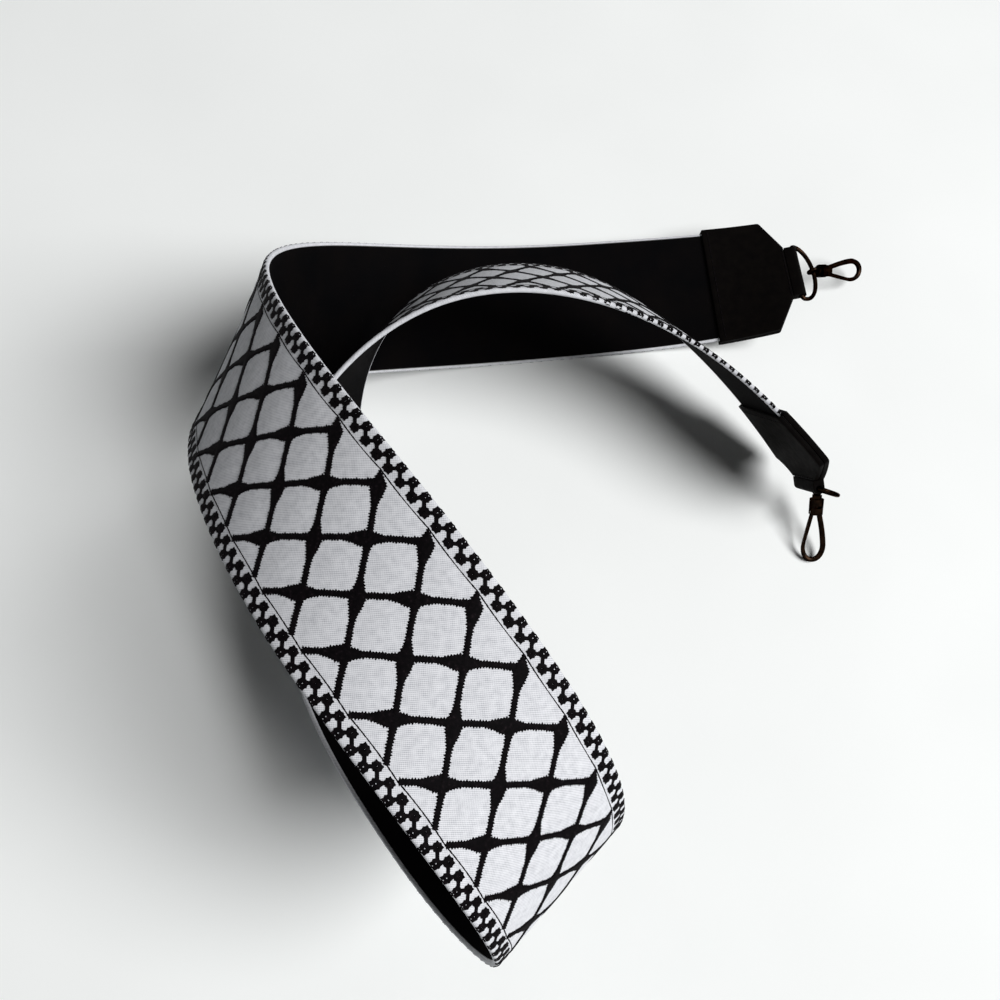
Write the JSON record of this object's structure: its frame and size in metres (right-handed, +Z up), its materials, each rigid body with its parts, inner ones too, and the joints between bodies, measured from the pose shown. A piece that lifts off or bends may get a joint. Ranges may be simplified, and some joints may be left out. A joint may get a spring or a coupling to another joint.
{
  "type": "detachable bag strap",
  "caption": "Wide detachable shoulder strap of embroidered cloth with leather ends, D-rings and swivel snap hooks with sprung gates, lying in a loose coil.",
  "frame": {"origin": "centre of the whole strap's bounding box at the surface that it lies on", "axes": "+Z up, the strap lies on Z = 0 in the coil that the picture shows; +X towards end A's hook, to the right in the picture, and +Y away from the viewer"},
  "size_m": [0.3214, 0.3434, 0.1805],
  "materials": {
    "embroidered_cotton": "plain-woven off-white cotton with black satin-stitch embroidery",
    "core_felt": "needled stiffening band",
    "black_lining": "smooth black lining, matt",
    "black_leather": "smooth black leather with a fine grain",
    "gunmetal": "dark gunmetal plating, glossy",
    "spring_steel": "bare spring wire"
  },
  "bodies": {
    "strap": {"face_cloth": "embroidered_cotton", "core_band": "core_felt", "lining": "black_lining", "tab_outer_a": "black_leather", "tab_inner_a": "black_leather", "tab_outer_b": "black_leather", "tab_inner_b": "black_leather"},
    "ring_a": {"d_ring_a": "gunmetal"},
    "eye_a": {"swivel_eye_a": "gunmetal", "swivel_stud_a": "gunmetal"},
    "hook_a": {"hook_body_a": "gunmetal", "gate_pin_a": "gunmetal", "gate_spring_a": "spring_steel"},
    "gate_a": {"gate_lever_a": "gunmetal"},
    "ring_b": {"d_ring_b": "gunmetal"},
    "eye_b": {"swivel_eye_b": "gunmetal", "swivel_stud_b": "gunmetal"},
    "hook_b": {"hook_body_b": "gunmetal", "gate_pin_b": "gunmetal", "gate_spring_b": "spring_steel"},
    "gate_b": {"gate_lever_b": "gunmetal"}
  },
  "joints": [
    {"name": "ring_swing_a", "type": "hinge", "parent": "strap", "child": "ring_a", "pos_m": [0.11531, 0.14179, 0.02551], "axis": [0.1096, -0.9939, -0.0087], "range_deg": [-62, 138]},
    {"name": "eye_swing_a", "type": "hinge", "parent": "ring_a", "child": "eye_a", "pos_m": [0.12689, 0.14608, 0.02103], "axis": [0.2334, -0.9708, -0.0559], "range_deg": [-82, 78]},
    {"name": "hook_swivel_a", "type": "hinge", "parent": "eye_a", "child": "hook_a", "pos_m": [0.12689, 0.14608, 0.02103], "axis": [0.9098, 0.2727, -0.3128], "continuous": true},
    {"name": "gate_a", "type": "hinge", "parent": "hook_a", "child": "gate_a", "pos_m": [0.13753, 0.14778, 0.01653], "axis": [0.4078, -0.448, 0.7956], "range_deg": [0, 22], "stiffness_Nm_per_rad": 0.01, "springref_deg": -11.46},
    {"name": "ring_swing_b", "type": "hinge", "parent": "strap", "child": "ring_b", "pos_m": [0.10552, 0.02014, 0.03273], "axis": [0.0904, 0.4171, -0.9043], "range_deg": [-36, 134]},
    {"name": "eye_swing_b", "type": "hinge", "parent": "ring_b", "child": "eye_b", "pos_m": [0.11523, 0.02261, 0.02152], "axis": [-0.5565, 0.5011, -0.6627], "range_deg": [-150, 10]},
    {"name": "hook_swivel_b", "type": "hinge", "parent": "eye_b", "child": "hook_b", "pos_m": [0.11523, 0.02261, 0.02152], "axis": [0.0561, -0.8399, -0.5399], "continuous": true},
    {"name": "gate_b", "type": "hinge", "parent": "hook_b", "child": "gate_b", "pos_m": [0.11419, 0.0129, 0.01513], "axis": [-0.0766, -0.5427, 0.8364], "range_deg": [0, 22], "stiffness_Nm_per_rad": 0.01, "springref_deg": -11.46}
  ]
}
